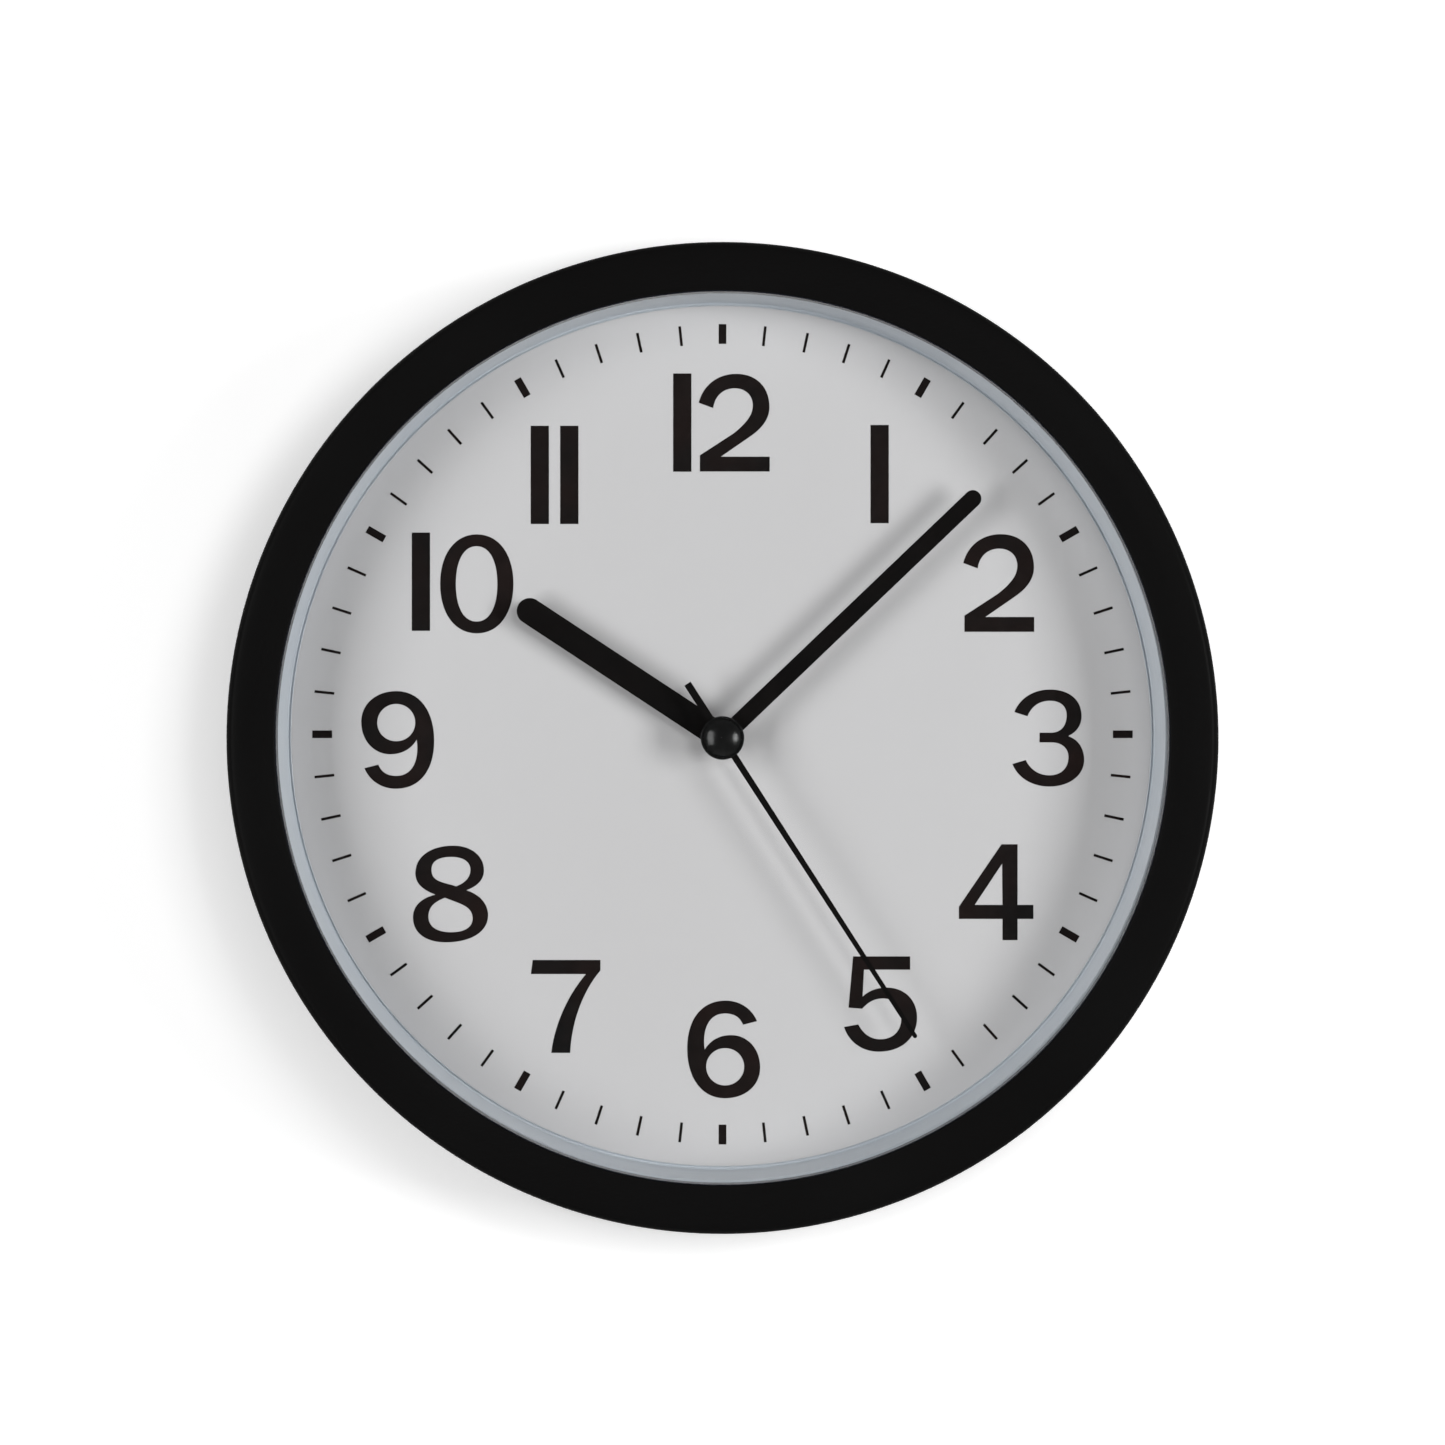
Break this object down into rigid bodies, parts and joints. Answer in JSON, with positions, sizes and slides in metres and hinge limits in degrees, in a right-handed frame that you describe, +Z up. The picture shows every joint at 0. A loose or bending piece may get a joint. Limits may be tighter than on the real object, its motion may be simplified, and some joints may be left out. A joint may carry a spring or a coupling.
{
  "type": "wall clock",
  "caption": "Round quartz wall clock: deep black frame, clear lens, white dial with numerals, three black hands, keyhole back and a geared battery movement.",
  "frame": {"origin": "on the hands' axis, halfway between the frame's front crest and its rear rim, which is the centre of the bounding box", "axes": "+Y from the dial into the wall, +Z up towards 12 o'clock, +X towards 3 o'clock; seen from the front the hands turn clockwise, which is positive about +Y"},
  "size_m": [0.25, 0.04, 0.25],
  "materials": {
    "frame_black": "satin black moulding, glossy inner wall",
    "clear_lens": "clear, polished",
    "pale_ring": "pale blue-grey, satin",
    "dial_white": "white printed card, black numerals and ticks",
    "hand_black": "satin black paint",
    "cap_black": "satin black",
    "case_black": "fine moulded grain",
    "natural_plastic": "natural acetal",
    "brass": "turned",
    "steel": "zinc plated",
    "copper_wire": "enamelled copper wire",
    "magnet_grey": "sintered",
    "board_green": "solder resist over glass fibre",
    "cell_sleeve": "plain printed sleeve"
  },
  "bodies": {
    "case": {"front_frame": "frame_black", "lens": "clear_lens", "dial_ring": "pale_ring", "dial": "dial_white", "back_case": "case_black", "case_screw_1": "steel", "case_screw_2": "steel", "case_screw_3": "steel", "case_screw_4": "steel", "movement_base": "case_black", "movement_cover": "case_black", "middle_plate": "natural_plastic", "train_bridge": "natural_plastic", "coil_bobbin": "natural_plastic", "coil_winding": "copper_wire", "coil_core": "steel", "stator": "steel", "circuit_board": "board_green", "timing_chip": "cap_black", "quartz_crystal": "steel", "contact_positive": "steel", "contact_negative": "steel"},
    "minute_works": {"minute_hand": "hand_black", "centre_wheel": "brass"},
    "second_works": {"second_hand": "hand_black", "second_hand_collet": "brass", "second_hand_cap": "cap_black", "seconds_wheel": "natural_plastic"},
    "hour_works": {"hour_hand": "hand_black", "hour_wheel": "natural_plastic"},
    "third_works": {"third_wheel": "natural_plastic"},
    "fifth_works": {"fifth_wheel": "natural_plastic"},
    "rotor": {"rotor_pinion": "natural_plastic", "rotor_magnet": "magnet_grey"},
    "setting_works": {"minute_wheel": "natural_plastic", "setting_knob": "natural_plastic"},
    "cell": {"battery": "cell_sleeve", "battery_terminal": "steel"}
  },
  "joints": [
    {"name": "minute_turn", "type": "hinge", "parent": "case", "child": "minute_works", "pos_m": [0, 0, 0], "axis": [0, 1, 0], "continuous": true},
    {"name": "second_turn", "type": "hinge", "parent": "case", "child": "second_works", "pos_m": [0, 0, 0], "axis": [0, 1, 0], "continuous": true},
    {"name": "hour_turn", "type": "hinge", "parent": "case", "child": "hour_works", "pos_m": [0, 0, 0], "axis": [0, 1, 0], "continuous": true},
    {"name": "third_turn", "type": "hinge", "parent": "case", "child": "third_works", "pos_m": [0.00779, 0, 0.0045], "axis": [0, 1, 0], "continuous": true},
    {"name": "fifth_turn", "type": "hinge", "parent": "case", "child": "fifth_works", "pos_m": [-0.00263, 0, 0.00724], "axis": [0, 1, 0], "continuous": true},
    {"name": "rotor_turn", "type": "hinge", "parent": "case", "child": "rotor", "pos_m": [0.00037, 0, 0.01243], "axis": [0, 1, 0], "continuous": true},
    {"name": "setting_turn", "type": "hinge", "parent": "case", "child": "setting_works", "pos_m": [-0.00985, 0, 0.00174], "axis": [0, 1, 0], "continuous": true},
    {"name": "cell_slide", "type": "slide", "parent": "case", "child": "cell", "axis": [0, 1, 0], "range_m": [0, 0.02]}
  ],
  "couplings": [
    {"joint": "second_turn", "follows": "minute_turn", "ratio": 60},
    {"joint": "hour_turn", "follows": "minute_turn", "ratio": 0.083333},
    {"joint": "third_turn", "follows": "minute_turn", "ratio": -8},
    {"joint": "fifth_turn", "follows": "minute_turn", "ratio": -360},
    {"joint": "rotor_turn", "follows": "minute_turn", "ratio": 1800},
    {"joint": "setting_turn", "follows": "minute_turn", "ratio": -0.33333}
  ]
}
